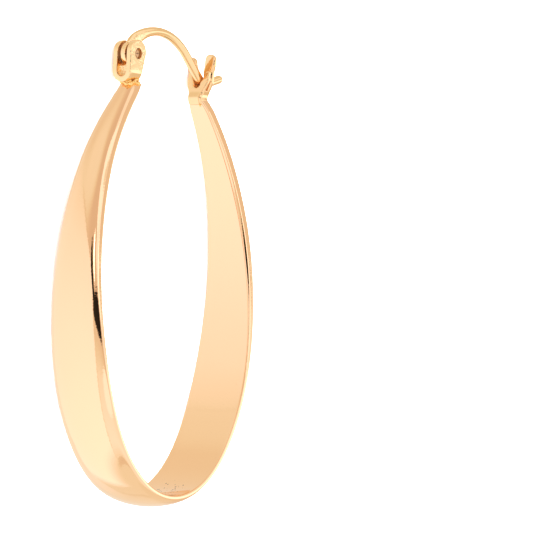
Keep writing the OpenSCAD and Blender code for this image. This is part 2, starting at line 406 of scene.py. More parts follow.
# %% [markdown]
# ## The catch
#
# A piece of sheet is folded along the hoop, so that two walls stand close together. Both have a notch for
# the wire. The front wall is low and its mouth is wide, the rear wall has two tall rounded lobes. The foot
# flows into the end of the band. Each wall is a plate with its notch cut out, the fold is a thin drum, and
# a short cone of rings makes the foot. Softening then joins them and rounds the lobes like pillows.

# %% Front wall
CATCH_X, CATCH_FOOT_Y, FOLD_R = 6.25, 42.4, 0.37
NOTCH_Y, KEY_R, SLOT_HALF = 43.87, 0.45, 0.54
LOW_TOP_Y = 45.2
# Half of the outline that both walls share, and how much narrower the front wall is
BODY = [(0.72, 42.45), (0.78, 42.7), (0.96, 43.05), (1.20, 43.5), (1.38, 43.95), (1.44, 44.4),
        (1.44, LOW_TOP_Y)]
FRONT_SHARE = 0.94
# Where each wall starts and ends along X, and how far and about which height the front one leans
FRONT_X, REAR_X = (CATCH_X - FOLD_R - 0.08, CATCH_X - 0.06), (CATCH_X + 0.06, CATCH_X + FOLD_R + 0.14)
LEAN, LEAN_Y = math.radians(14), 44.2


def both_sides(half):
    """Half an outline, closed by its mirror image."""
    return half + [(-a, b) for a, b in reversed(half)]


front = plate("front_wall", both_sides([(FRONT_SHARE * a, b) for a, b in BODY]), *FRONT_X, "zy")
mouth = [(KEY_R, 44.0), (0.66, 44.36), (0.88, 44.9), (0.96, LOW_TOP_Y + 0.2)]
cut(front, plate("mouth", both_sides(mouth), CATCH_X - 1, CATCH_X + 1, "zy"))
cut(front, drum("key", (CATCH_X, NOTCH_Y, 0), KEY_R, 2, "x"))
# The front wall leans back, so its lower edge is flush with the inside of the band
only(front)
bpy.ops.object.mode_set(mode="EDIT")
bpy.ops.mesh.select_all(action="SELECT")
bpy.ops.transform.rotate(value=LEAN, orient_axis="Z", center_override=(CATCH_X - FOLD_R, LEAN_Y, 0))
bpy.ops.object.mode_set(mode="OBJECT")
top = max(front.data.vertices, key=lambda v: v.co.y).co
print("front wall: top edge at X", round(top.x, 2))

# %% Rear wall and fold
# The lobes aren't twins: the near one is tall and leans out, the far one is lower and spreads wider
near_lobe = [(1.50, 45.1), (1.70, 45.9)] + arc((1.13, 46.36), 0.62, -15, 170, 16)
near_lobe += [(0.48, 45.9), (0.36, 45.3), (0.36, 44.8)]
far_lobe = [(-0.50, 45.0), (-0.58, 45.4), (-0.76, 45.9)] + arc((-1.34, 46.12), 0.58, 10, 195, 16)
far_lobe += [(-1.62, 45.2)]
slot = arc((0, NOTCH_Y), SLOT_HALF, 25, -205, 16)
rear_outline = BODY[:-1] + near_lobe + slot + far_lobe + [(-a, b) for a, b in reversed(BODY[:-1])]
rear = plate("rear_wall", rear_outline, *REAR_X, "zy")
FOLD_LENGTH = 1.6
fold = drum("fold", (CATCH_X, CATCH_FOOT_Y + FOLD_R, 0), FOLD_R, FOLD_LENGTH, "z", 40)
print("rear wall: outline of", len(rear_outline), "points")

# %% Foot, and all of the catch as one
# The foot starts as the end of the band. Columns: height, middle along X, scale along X, scale across
end_ring = placed_ring(catch_end)
END_X = (min(p.x for p in end_ring) + max(p.x for p in end_ring)) / 2
FOOT = [(41.75, END_X + 0.06, 0.88, 0.90), (42.0, END_X + 0.03, 0.96, 0.97), (42.22, END_X, 1.0, 0.98),
        (42.45, 6.06, 0.95, 0.96), (42.70, 6.12, 0.86, 0.98), (42.95, 6.18, 0.76, 1.06),
        (43.20, 6.23, 0.66, 1.18)]
foot = extruded_skin("foot", [[Vector((x + deep * (p.x - END_X), y, wide * p.z)) for p in end_ring]
                              for y, x, deep, wide in FOOT])
catch = join([front, rear, fold, foot], "catch")
soften(catch, voxel=0.042, rounds=34)
# Smoothing takes a little off all over, and this puts it back as the plating does
apply_modifier(catch, "DISPLACE", strength=0.05, mid_level=0.0)
print("catch:", triangles(catch), "triangles")

# %% [markdown]
# ## Solder
#
# Solder flows into the corner between a cut end and the piece on it, and stays there as a small uneven
# bead. A few squashed spheres round a core, melted together by the voxels, give that shape. The random
# numbers are seeded, so the bead is the same each time.

# %% Beads under the bracket and the catch
def ball(place, size):
    deselect()
    bpy.ops.mesh.primitive_uv_sphere_add(segments=20, ring_count=12, location=place, scale=size)
    bpy.ops.object.transform_apply(location=True, rotation=True, scale=True)
    return bpy.context.object


# How far a lump may be off its even turn and height, how deep it sinks into the core, and how flat it is
OFF_TURN, OFF_HEIGHT, SUNK, FLATNESS = 0.4, 0.22, 0.3, 0.8


def bead(centre, core, lumps, low, high, seed):
    """A squashed core, with lumps of radius low to high round its rim, each a little off its even place."""
    rng = random.Random(seed)
    pieces = [ball(centre, core)]
    for i in range(lumps):
        a = 2 * math.pi * (i + OFF_TURN * rng.random()) / lumps
        r = low + (high - low) * rng.random()
        up = OFF_HEIGHT * (rng.random() - 0.5)
        place = (centre[0] + (core[0] - SUNK * r) * math.cos(a), centre[1] + up,
                 centre[2] + (core[2] - SUNK * r) * math.sin(a))
        pieces.append(ball(place, (r, FLATNESS * r, r)))
    return pieces


# Drops that ran down the band and up the strip, and small ones round the catch. Pairs: place, half sizes
HINGE_DROPS = [((-6.06, 43.02, 0.72), (0.24, 0.24, 0.26)), ((-6.18, 43.00, 0.30), (0.20, 0.22, 0.24)),
               ((-5.10, 43.50, 0.92), (0.22, 0.17, 0.18)), ((-5.50, 43.46, 0.94), (0.17, 0.13, 0.16)),
               ((-4.80, 43.12, 0.80), (0.20, 0.22, 0.22))]
CATCH_DROPS = [((5.76, 42.30, 0.66), (0.11, 0.10, 0.12)), ((5.50, 41.62, 0.72), (0.11, 0.13, 0.12)),
               ((6.62, 42.40, 0.60), (0.12, 0.08, 0.16))]
hinge_beads = bead((-5.42, 43.20, 0.04), (0.88, 0.26, 0.90), lumps=19, low=0.13, high=0.24, seed=4)
hinge_beads += [ball(place, size) for place, size in HINGE_DROPS]
hinge_solder = join(hinge_beads, "hinge_solder")
soften(hinge_solder, voxel=0.03, rounds=2)
catch_solder = join([ball(place, size) for place, size in CATCH_DROPS], "catch_solder")
soften(catch_solder, voxel=0.02, rounds=2)
print("solder:", triangles(hinge_solder), triangles(catch_solder), "triangles")

# %% [markdown]
# ## The ear wire
#
# The wire is drawn round, its end is hammered flat and pierced for the rivet, and the rest is bent to an
# arch that dips into the catch and ends in a short upturned tail. It is extruded ring by ring along its
# bends. The heading is averaged a little, because a real bend starts and stops gently.

# %% The path of the wire
WIRE_R = 0.475
WIRE_START, WIRE_HEADING = (-5.75, 46.92), 62.0
# Columns: radius of a bend or length of a straight, angle turned (left is positive)
WIRE_STEPS = [(2.4, -37), (8.4, -25), (6.7, -45), (3.44, 0), (1.35, 62), (2.0, 0)]
# The path is worked out in pieces of this length, and every fourth place gets a ring
PIECE, KEPT = 0.05, 4
lengths = [r if turn == 0 else math.radians(abs(turn)) * r for r, turn in WIRE_STEPS]


def raw_heading(s):
    heading = WIRE_HEADING
    for (r, turn), length in zip(WIRE_STEPS, lengths):
        done = min(max(s / length, 0), 1)
        heading += turn * done
        s -= length
        if s <= 0:
            break
    return heading


def heading_at(s):
    """The heading averaged over 11 places, 0.06 mm apart."""
    return sum(raw_heading(s + k * 0.06) for k in range(-5, 6)) / 11


whole = sum(lengths)
places, at = [], Vector((WIRE_START[0], WIRE_START[1]))
for i in range(int(whole / PIECE) + 1):
    heading = heading_at(i * PIECE)
    places.append((at.x, at.y, heading))
    at = at + PIECE * Vector((cos(heading), sin(heading)))
places = places[::KEPT] if (len(places) - 1) % KEPT == 0 else places[::KEPT] + [places[-1]]
print("wire:", round(whole, 2), "mm long, tail at", round(places[-1][0], 2), round(places[-1][1], 2))

# %% Extrude the wire and add the pierced end
SIDES = 20
# Columns: distance along the wire, half width outwards, half width inwards, half thickness
HAMMERED = [(0.0, 0.44, 1.20, 0.27), (0.9, 0.46, 1.24, 0.27), (1.8, WIRE_R, 1.10, 0.29),
            (2.4, WIRE_R, 0.90, 0.33), (3.1, WIRE_R, 0.68, 0.38), (4.0, WIRE_R, 0.55, 0.44),
            (4.9, WIRE_R, WIRE_R, WIRE_R), (99.0, WIRE_R, WIRE_R, WIRE_R)]
# The pierced tongue round the rivet, and the angles of the rings that round off the tail
TONGUE_R, TONGUE_T, BORE_R = 1.22, 0.6, 0.56
TIP = (18, 36, 54, 70, 82)


def hammered(s):
    """Half sizes of the wire at a distance along it."""
    i = max(k for k in range(len(HAMMERED) - 1) if s >= HAMMERED[k][0])
    a, b = HAMMERED[i], HAMMERED[i + 1]
    f = (s - a[0]) / (b[0] - a[0])
    return [p + (q - p) * f for p, q in zip(a[1:], b[1:])]


def wire_ring(place, outwards, inwards, over, ahead=0.0):
    """A ring round the wire, moved on along it by ahead."""
    x, y, heading = place
    ring = []
    for k in range(SIDES):
        c, up_down = cos(360 * k / SIDES), sin(360 * k / SIDES)
        reach = c * (outwards if c > 0 else inwards)
        ring.append(Vector((x + ahead * cos(heading) - reach * sin(heading),
                            y + ahead * sin(heading) + reach * cos(heading), over * up_down)))
    return ring


wire_rings = []
# The sizes are averaged over 5 places, 0.15 mm apart, so that the wire swells without a kink
for i, place in enumerate(places):
    near = [hammered(max(i * KEPT * PIECE + k * 0.15, 0)) for k in range(-2, 3)]
    wire_rings.append(wire_ring(place, *[sum(column) / len(near) for column in zip(*near)]))
for a in TIP:
    smaller = WIRE_R * cos(a)
    wire_rings.append(wire_ring(places[-1], smaller, smaller, smaller, WIRE_R * sin(a)))
wire = extruded_skin("ear_wire_round", wire_rings)
apply_modifier(wire, "SUBSURF", levels=2, render_levels=2)
tongue = drum("tongue", (PIVOT[0], PIVOT[1], 0), TONGUE_R, TONGUE_T, "z", 96)
cut(tongue, drum("tongue_bore", (PIVOT[0], PIVOT[1], 0), BORE_R, 2, "z"))
apply_modifier(tongue, "BEVEL", width=0.09, segments=4, limit_method="ANGLE", angle_limit=math.radians(40))
ear_wire = join([wire, tongue], "ear_wire_bent")
only(ear_wire)
bpy.ops.object.shade_smooth_by_angle(angle=math.radians(35))
print("ear wire:", triangles(ear_wire), "triangles")

# %% [markdown]
# ## The rivet
#
# The rivet is a short pin whose ends are struck with a punch inside the ears' holes, so they lie below the
# faces with a dimple in the middle. It is a drum, with each end inset in three steps and pushed in.

# %% Pin with punched ends
PIN_R, RECESS = 0.52, 0.34
# Pairs: how far an inset draws the end in, how deep the punch pushes it
PUNCHED = ((0.08, 0.0), (0.12, 0.05), (0.14, 0.12))
rivet = drum("rivet_pin", (PIVOT[0], PIVOT[1], 0), PIN_R, BRACKET_W - 2 * RECESS, "z", 48)
for side in (-1, 1):
    bpy.ops.object.mode_set(mode="EDIT")
    bpy.ops.mesh.select_mode(type="FACE")
    bpy.ops.mesh.select_all(action="DESELECT")
    mesh = bmesh.from_edit_mesh(rivet.data)
    for face in mesh.faces:
        face.select = face.normal.z * side > 0.9
    bmesh.update_edit_mesh(rivet.data)
    for drawn_in, deep in PUNCHED:
        bpy.ops.mesh.inset(thickness=drawn_in)
        bpy.ops.transform.translate(value=(0, 0, -deep * side))
    bpy.ops.object.mode_set(mode="OBJECT")
apply_modifier(rivet, "BEVEL", width=0.04, segments=3, limit_method="ANGLE", angle_limit=math.radians(25))
only(rivet)
bpy.ops.object.shade_smooth_by_angle(angle=math.radians(40))
print("rivet:", triangles(rivet), "triangles")

# %% [markdown]
# ## Lay the pieces down and tie them to the solids
#
# Every piece replaces the solid that it stands for and rides on the same body, so the ear wire still turns
# on its rivet.

# %% Ride and replace
for piece, body, node, slot in (
        (band, "hoop", "hoop", "hoop_gold"), (bracket, "hoop", "hoop", "hoop_gold"),
        (catch, "hoop", "hoop", "hoop_gold"), (hinge_solder, "hoop", "hoop", "hoop_gold"),
        (catch_solder, "hoop", "hoop", "hoop_gold"), (rivet, "hoop", "rivet", "hoop_gold"),
        (ear_wire, "ear_wire", "ear_wire", "wire_gold")):
    lay_down(piece)
    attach(piece, body)
    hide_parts(node)
    print(piece.name, "rides on", body)

# %% [markdown]
# ## Finishes
#
# Everything is brass under a thin layer of gold, so each finish is a bare metal: fully metallic, with the
# warm, slightly rosy colour of the plating. What differs is the surface below it. The band was buffed on a
# wheel, the small parts were only tumbled, the wire was drawn and rubbed bright, and the solder is grainy
# and more yellow. Most of that is low relief from a noise, at a real size in millimetres.

# %% Functions for colours, nodes and low relief
# Millimetres in a metre
MM = 1000.0
SMOOTH = {"interpolation_type": "SMOOTHSTEP"}


def linear(code):
    def channel(v):
        return v / 12.92 if v <= 0.04045 else ((v + 0.055) / 1.055) ** 2.4
    return [channel(int(code[i:i + 2], 16) / 255) for i in (1, 3, 5)] + [1.0]


def add(tree, kind, settings=None, links=None):
    """Add a node. A node or socket among the values is linked, a node by its first output; others are set."""
    node = tree.nodes.new(kind)
    for key, value in {**(settings or {}), **(links or {})}.items():
        if isinstance(value, bpy.types.Node):
            value = value.outputs[0]
        if isinstance(value, bpy.types.NodeSocket):
            tree.links.new(value, node.inputs[key])
        elif isinstance(key, str) and hasattr(node, key):
            setattr(node, key, value)
        else:
            node.inputs[key].default_value = value
    return node


def new_material(name):
    material = bpy.data.materials.new(name)
    material.use_nodes = True
    tree = material.node_tree
    tree.nodes.clear()
    return material, tree


def uneven(tree, place, size_mm, depth_mm, detail=2.0, below=None):
    """Low relief from a noise: the size of its lumps, their depth, and the relief that it lies on."""
    lumps = add(tree, "ShaderNodeTexNoise", {"Scale": MM / size_mm, "Detail": detail}, {"Vector": place})
    links = {"Height": lumps} if below is None else {"Height": lumps, "Normal": below}
    return add(tree, "ShaderNodeBump", {"Distance": depth_mm / MM}, links)


BUFFED_GOLD, DRIED_POLISH = "#FCD1A1", "#7E5C48"
print("buffed gold in linear light:", [round(v, 3) for v in linear(BUFFED_GOLD)])

# %% [markdown]
# ## Buffed plate
#
# The band was sanded, buffed on a cloth wheel and plated. A plain mirror would look drawn, so low waves, a
# fine skin, pinholes and specks of dried polish are laid over it. They are bump and colour, because they are
# far too small to model.

# %% Buffed gold plate: waves and skin
buffed, tree = new_material("buffed_gold_plate")
place = add(tree, "ShaderNodeTexCoord").outputs["Object"]
# Buffing leaves slow waves about 4 mm long, which bend the reflected seams a little
waves = uneven(tree, place, 4.0, 0.014, 1.0)
# The wheel crosses the strip at a slant, and leaves longer, flatter waves that way
slant = add(tree, "ShaderNodeMapping", {"Rotation": (0, 0, math.radians(35)), "Scale": (0.35, 1.0, 1.0)},
            {"Vector": place})
waves = uneven(tree, slant, 5.0, 0.035, 0.5, waves)
# The skin below the plate is finely uneven, so the edges of reflections look slightly ragged
skin = uneven(tree, place, 0.30, 0.0045, 3.0, waves)
print("waves and skin:", len(tree.nodes), "nodes")


# %% Buffed gold plate: pinholes and specks
def cells_by_lot(size_mm):
    """Cells of a size, each with a lot between 0 and 1."""
    cells = add(tree, "ShaderNodeTexVoronoi", {"feature": "F1", "Scale": MM / size_mm}, {"Vector": place})
    links = {"Vector": cells.outputs["Position"]}
    return cells, add(tree, "ShaderNodeTexWhiteNoise", {"noise_dimensions": "3D"}, links)


# A few pinholes about 0.1 mm wide
holes, lot = cells_by_lot(0.9)
chosen = add(tree, "ShaderNodeMapRange", {**SMOOTH, "From Min": 0.93, "From Max": 0.94}, {"Value": lot})
round_hole = add(tree, "ShaderNodeMapRange", {**SMOOTH, "From Min": 0.09, "From Max": 0.03}, {"Value": holes})
pinhole = add(tree, "ShaderNodeMath", {"operation": "MULTIPLY"}, {0: chosen, 1: round_hole})
pitted = add(tree, "ShaderNodeBump", {"Distance": 0.02 / MM, "invert": True},
             {"Height": pinhole, "Normal": skin})
# Inside the bottom of the hoop the buffing wheel can't reach, so brown specks of polish stay there. They
# get rarer away from the middle of that place, and end at its reach
SPECK_SHARE, SPECK_REACH = 0.9, 2.9
bottom = LAY @ Vector((2.0, 3.0, 0.5))
cells, lot = cells_by_lot(0.24)
away = add(tree, "ShaderNodeVectorMath", {"operation": "DISTANCE", 1: bottom}, {0: place})
kept = add(tree, "ShaderNodeMath",
           {"operation": "MULTIPLY_ADD", 1: -SPECK_SHARE * MM / SPECK_REACH, 2: SPECK_SHARE},
           {0: away.outputs["Value"]})
chosen = add(tree, "ShaderNodeMath", {"operation": "LESS_THAN"}, {0: lot, 1: kept})
round_speck = add(tree, "ShaderNodeMapRange", {**SMOOTH, "From Min": 0.40, "From Max": 0.24},
                  {"Value": cells})
speck = add(tree, "ShaderNodeMath", {"operation": "MULTIPLY"}, {0: chosen, 1: round_speck})
speckled = add(tree, "ShaderNodeMix", {"data_type": "RGBA", 6: linear(BUFFED_GOLD), 7: linear(DRIED_POLISH)},
               {"Factor": speck})
handled = add(tree, "ShaderNodeTexNoise", {"Scale": MM / 1.5, "Detail": 2.0}, {"Vector": place})
gloss = add(tree, "ShaderNodeMapRange",
            {**SMOOTH, "From Min": 0.35, "From Max": 0.7, "To Min": 0.012, "To Max": 0.03},
            {"Value": handled})
shader = add(tree, "ShaderNodeBsdfPrincipled", {"Metallic": 1.0},
             {"Base Color": speckled.outputs[2], "Normal": pitted, "Roughness": gloss})
add(tree, "ShaderNodeOutputMaterial", None, {"Surface": shader})
print("buffed plate:", len(tree.nodes), "nodes")

# %% [markdown]
# ## Tumbled plate
#
# The bracket and the catch are too small for the wheel and were only tumbled. Their faces keep fine creases
# and a soft orange peel, and their corners are darkened with painted shade. Creases are the edges of Voronoi
# cells, bent by a noise so that they don't look like cracked glass, and ambient occlusion finds the corners.

# %% Corners and the plate of the small parts
# Painted shade: the dull brown colour put in corners where ambient occlusion finds them
CORNER_SHADE = "#9A5F30"


def corners(tree, colour, reach_mm, shade_colour=CORNER_SHADE, open_at=0.60):
    """Links for colour and metallic: in the corners that ambient occlusion finds, painted shade, a dull dark
    colour, covers the metal.
    """
    corner = add(tree, "ShaderNodeAmbientOcclusion", {"samples": 8, "Distance": reach_mm / MM})
    bare = add(tree, "ShaderNodeMapRange", {**SMOOTH, "From Min": 0.05, "From Max": open_at},
               {"Value": corner.outputs["AO"]})
    mixed = add(tree, "ShaderNodeMix", {"data_type": "RGBA", 6: linear(shade_colour), 7: linear(colour)},
                {"Factor": bare})
    metal = add(tree, "ShaderNodeMapRange", {**SMOOTH, "From Max": 0.8, "To Min": 0.3}, {"Value": bare})
    return {"Base Color": mixed.outputs[2], "Metallic": metal}


def tumbled_plate(name, colour, crease_mm, crease_depth, peel_depth, gloss, shade_colour, open_at):
    material, tree = new_material(name)
    place = add(tree, "ShaderNodeTexCoord").outputs["Object"]
    bent = add(tree, "ShaderNodeTexNoise", {"Scale": MM / 0.5, "Detail": 2.0}, {"Vector": place})
    push = add(tree, "ShaderNodeVectorMath", {"operation": "MULTIPLY_ADD", 1: (0.3 / MM, 0.3 / MM, 0.3 / MM)},
               {0: bent.outputs["Color"], 2: place})
    cells = add(tree, "ShaderNodeTexVoronoi", {"feature": "DISTANCE_TO_EDGE", "Scale": MM / crease_mm},
                {"Vector": push})
    crease = add(tree, "ShaderNodeMapRange", {**SMOOTH, "From Max": 0.16}, {"Value": cells})
    where = add(tree, "ShaderNodeTexNoise", {"Scale": MM / 1.3, "Detail": 1.0}, {"Vector": place})
    patchy = add(tree, "ShaderNodeMapRange", {**SMOOTH, "From Min": 0.62, "From Max": 0.42}, {"Value": where})
    crease = add(tree, "ShaderNodeMath", {"operation": "MAXIMUM"}, {0: crease, 1: patchy})
    peel = uneven(tree, place, 0.6, peel_depth)
    creased = add(tree, "ShaderNodeBump", {"Distance": crease_depth / MM}, {"Height": crease, "Normal": peel})
    shader = add(tree, "ShaderNodeBsdfPrincipled", {"Roughness": gloss},
                 {**corners(tree, colour, 0.8, shade_colour, open_at), "Normal": creased})
    add(tree, "ShaderNodeOutputMaterial", None, {"Surface": shader})
    print(name + ":", len(tree.nodes), "nodes")
    return material


bracket_plate = tumbled_plate("tumbled_gold_plate_creased", "#FBD49A", crease_mm=0.38, crease_depth=0.012,
                              peel_depth=0.014, gloss=0.05, shade_colour=CORNER_SHADE, open_at=0.85)
# The catch's corners get orange painted shade, standing in for light bounced between its gold walls and the
# wire
catch_plate = tumbled_plate("tumbled_gold_plate_smooth", "#F8CE96", crease_mm=0.6, crease_depth=0.0015,
                            peel_depth=0.010, gloss=0.04, shade_colour="#D07A22", open_at=0.70)

# %% [markdown]
# ## Wire, solder and pin
#
# The wire was pulled through a die, rubbed bright and plated, so it is smooth with faint low waves, and its
# hammered end keeps small creases. Silver solder freezes with a pebbled skin, which glitters. The struck
# ends of the pin are darkened with painted shade in their hollows, so they are brown and dull.

# %% Drawn wire
drawn, tree = new_material("drawn_gold_wire")
place = add(tree, "ShaderNodeTexCoord").outputs["Object"]
wavy = uneven(tree, place, 0.8, 0.010)
# The creases fade between two distances from the rivet, where the wire is round again
CREASED_TO, ROUND_FROM = 2.2, 3.6
creases = add(tree, "ShaderNodeTexVoronoi", {"feature": "DISTANCE_TO_EDGE", "Scale": MM / 0.6},
              {"Vector": place})
edge = add(tree, "ShaderNodeMapRange", {**SMOOTH, "From Max": 0.15}, {"Value": creases})
rivet_at = LAY @ Vector((PIVOT[0], PIVOT[1], 0))
away = add(tree, "ShaderNodeVectorMath", {"operation": "DISTANCE", 1: rivet_at}, {0: place})
faded = add(tree, "ShaderNodeMapRange", {**SMOOTH, "From Min": CREASED_TO / MM, "From Max": ROUND_FROM / MM},
            {"Value": away.outputs["Value"]})
edge = add(tree, "ShaderNodeMath", {"operation": "MAXIMUM"}, {0: edge, 1: faded})
creased = add(tree, "ShaderNodeBump", {"Distance": 0.010 / MM}, {"Height": edge, "Normal": wavy})
# Painted shade: where the wire runs into corners, a dull brown colour covers it
shader = add(tree, "ShaderNodeBsdfPrincipled", {"Roughness": 0.035},
             {**corners(tree, "#FAD49B", 0.5), "Normal": creased})
add(tree, "ShaderNodeOutputMaterial", None, {"Surface": shader})
print("drawn wire:", len(tree.nodes), "nodes")

# %% Solder and the struck pin
soldered, tree = new_material("plated_solder")
place = add(tree, "ShaderNodeTexCoord").outputs["Object"]
pebbled = uneven(tree, place, 0.22, 0.03, 3.0)
shader = add(tree, "ShaderNodeBsdfPrincipled",
             {"Metallic": 1.0, "Roughness": 0.10, "Base Color": linear("#FFD487")}, {"Normal": pebbled})
add(tree, "ShaderNodeOutputMaterial", None, {"Surface": shader})

pin_end, tree = new_material("brass_pin_with_painted_shade")
place = add(tree, "ShaderNodeTexCoord").outputs["Object"]
dented = uneven(tree, place, 0.3, 0.03, 3.0)
# The pin's struck ends get nearly black painted shade where ambient occlusion finds their hollows
shader = add(tree, "ShaderNodeBsdfPrincipled", {"Roughness": 0.16},
             {**corners(tree, "#D2A67A", 0.3, "#2C1A10"), "Normal": dented})
add(tree, "ShaderNodeOutputMaterial", None, {"Surface": shader})

for piece, material in ((band, buffed), (bracket, bracket_plate), (catch, catch_plate), (rivet, pin_end),
                        (ear_wire, drawn), (hinge_solder, soldered), (catch_solder, soldered)):
    piece.data.materials.clear()
    piece.data.materials.append(material)
print("materials:", [m.name for m in bpy.data.materials if m.users])

# %% [markdown]
# ## Floor
#
# The floor is plain white paper. Polished metal would show it as one flat colour, so the metal doesn't see
# it and shows the table of the tent instead.

# %% Floor
deselect()
bpy.ops.mesh.primitive_plane_add(size=3.0, location=(0, 0, 0))
floor = bpy.context.object
floor.name = "floor"
paper, tree = new_material("white_paper_floor")
shader = add(tree, "ShaderNodeBsdfPrincipled",
             {"Base Color": (0.94, 0.94, 0.94, 1), "Roughness": 0.9, "Specular IOR Level": 0.1})
add(tree, "ShaderNodeOutputMaterial", None, {"Surface": shader})
floor.data.materials.append(paper)
floor.visible_glossy = False
print("floor:", floor.dimensions.x, "m wide")

# %% [markdown]
# ## Camera
#
# The photograph shows the hoop upright, from a long way off. So the camera is first placed round the upright
# drawing, by its direction, roll and distance, and is then laid down with the earring. The earring stands
# left of the middle of the picture, so the lens is shifted and the camera stays where it is.

# %% Camera at the photograph's angle
AZIMUTH, ELEVATION, ROLL = 50.977, -1.843, -1.998
DISTANCE, AIM_Y, PIXELS_PER_MM = 511.877, 24, 9.698
SENSOR, FRAME = 36.0, 534
# Where the aimed point falls in the picture
CENTRE_PX, CENTRE_PY = 155.644, 272.167
back = Vector((-sin(AZIMUTH) * cos(ELEVATION), sin(ELEVATION), cos(AZIMUTH) * cos(ELEVATION)))
up = Vector((sin(AZIMUTH) * sin(ELEVATION), cos(ELEVATION), -cos(AZIMUTH) * sin(ELEVATION)))
right = up.cross(back)
right, up = cos(ROLL) * right - sin(ROLL) * up, cos(ROLL) * up + sin(ROLL) * right
laid = Matrix.Rotation(-REST_TILT, 3, "X")
eye = LAY @ (Vector((0, AIM_Y, 0)) + DISTANCE * back)
camera_data = bpy.data.cameras.new("camera")
camera = bpy.data.objects.new("camera", camera_data)
bpy.context.scene.collection.objects.link(camera)
camera_data.sensor_width = SENSOR
camera_data.lens = PIXELS_PER_MM * DISTANCE * SENSOR / FRAME
camera_data.shift_x = (FRAME / 2 - CENTRE_PX) / FRAME
camera_data.shift_y = (CENTRE_PY - FRAME / 2) / FRAME
camera.matrix_world = (Matrix.Translation(eye)
                       @ Matrix((laid @ right, laid @ up, laid @ back)).transposed().to_4x4())
camera_data.clip_start, camera_data.clip_end = 0.01, 20
bpy.context.scene.camera = camera
print("lens:", round(camera_data.lens, 1), "mm, camera", round(eye.z, 3), "m above the floor")

# %% [markdown]
# ## The white tent
#
# Jewellery is photographed in a white tent, and polished metal shows only what surrounds it, so the tent is
# the light. It is sewn from flat sheets. The sheet behind the lens is the brightest, its seams show on the
# metal as thin curved lines, the roof and the corner beside the lens are dimmer and warmer, and the gap for
# the lens shows as a dark line with a bright lamp beside it. No pictures are used here, so the tent is
# calculated from directions: az is the angle round the long axis of the hoop in hundreds of degrees, and h
# is the height along it.

# %% Directions on the tent
world = bpy.data.worlds.new("white_tent")
bpy.context.scene.world = world
world.use_nodes = True
tree = world.node_tree
tree.nodes.clear()
look = add(tree, "ShaderNodeTexCoord")
flat = add(tree, "ShaderNodeVectorRotate", {"rotation_type": "X_AXIS", "Angle": REST_TILT},
           {"Vector": look.outputs["Generated"]})
axes = add(tree, "ShaderNodeSeparateXYZ", None, {"Vector": flat})
x, h, z = axes.outputs


def chain(value, *steps):
    """Take a value through sums. Each step: an operation, then its other numbers or nodes."""
    for operation, *others in steps:
        value = add(tree, "ShaderNodeMath", {"operation": operation}, dict(enumerate([value, *others])))
    return value


az = chain(x, ("ARCTAN2", z), ("MULTIPLY", math.degrees(1) / 100))
print("directions:", len(tree.nodes), "nodes")


# %% Ramps, spots and coats of light
def ramps(*rows):
    """The product of smooth ramps. Each row: a measure, where its ramp is 0 and where it is 1."""
    shares = [add(tree, "ShaderNodeMapRange", SMOOTH, {"Value": value, "From Min": nought, "From Max": one})
              for value, nought, one in rows]
    return chain(shares[0], *[("MULTIPLY", share) for share in shares[1:]])


def paint(level, *coats):
    """Lay coats over a level of light. Each coat: the share it covers, from 0 to 1, and its own level."""
    for share, coat in coats:
        level = add(tree, "ShaderNodeMix", {"data_type": "FLOAT"}, {"Factor": share, "A": level, "B": coat})
    return level


def darken(level, share, by):
    """Take a part of the level away, as far as the share says."""
    return chain(share, ("MULTIPLY_ADD", -by, 1.0), ("MULTIPLY", level))


def beyond(normal, offset):
    """How far a direction lies beyond a flat seam."""
    along = add(tree, "ShaderNodeVectorMath", {"operation": "DOT_PRODUCT", 1: normal}, {0: flat})
    return chain(along.outputs["Value"], ("SUBTRACT", offset))


def spot(middle_az, middle_h, slope, half_long, half_wide, edge=0.3):
    """1 inside an oval on the tent, which slopes up by an angle in degrees, and 0 outside."""
    da, dh = chain(az, ("SUBTRACT", middle_az)), chain(h, ("SUBTRACT", middle_h))
    ca, sa = cos(slope), sin(slope)
    along = chain(da, ("MULTIPLY_ADD", ca / half_long, chain(dh, ("MULTIPLY", sa / half_long))))
    across = chain(da, ("MULTIPLY_ADD", -sa / half_wide, chain(dh, ("MULTIPLY", ca / half_wide))))
    out = chain(along, ("MULTIPLY_ADD", along, chain(across, ("MULTIPLY", across))))
    return ramps((out, 1 + edge, 1 - edge))


before = len(tree.nodes)
dim_roof = spot(-1.10, 0.68, 0, 0.38, 0.24, 0.9)
print("one spot takes", len(tree.nodes) - before, "nodes")

# %% Sheets and the seams between them
# A seam is where a plane cuts the tent: the plane's normal, and how far off the middle it lies
roof_seam = beyond((0.257, 0.912, 0.320), 0.123)
side_seam = beyond((-0.242, -0.695, 0.677), 0.57)
# The sheet behind the lens dims with height, by the lowest of three slopes. Pairs: slope, level at height 0
SHEET_SLOPES = ((-0.25, 1.185), (-0.17, 1.22), (-0.55, 1.27))
slopes = [chain(h, ("MULTIPLY_ADD", slope, level)) for slope, level in SHEET_SLOPES]
sheet = chain(slopes[0], *[("MINIMUM", other) for other in slopes[1:]])
# It is a little dimmer straight behind the earring
sheet = chain(ramps((x, -0.45, -0.1), (h, 0.1, 0.35)), ("MULTIPLY_ADD", -0.06, sheet))
roof = paint(0.84, (ramps((z, -0.1, 0.42)), 0.68), (dim_roof, 0.98))
gentle_slope = chain(h, ("MULTIPLY_ADD", -0.33, 0.90))
side = chain(h, ("MULTIPLY_ADD", -1.0, 0.62), ("MINIMUM", gentle_slope), ("MAXIMUM", 0.8))
# The roof seam over the left edge of the lens is tight, and further round the cloth hangs loose and blurs
loose = ramps((z, -0.3, -0.65))
hanging = chain(loose, ("MULTIPLY_ADD", -0.06, roof_seam), ("DIVIDE", paint(0.02, (loose, 0.14))))
level = paint(sheet, (ramps((side_seam, -0.02, 0.02)), side), (ramps((hanging, -1.0, 1.0)), roof))
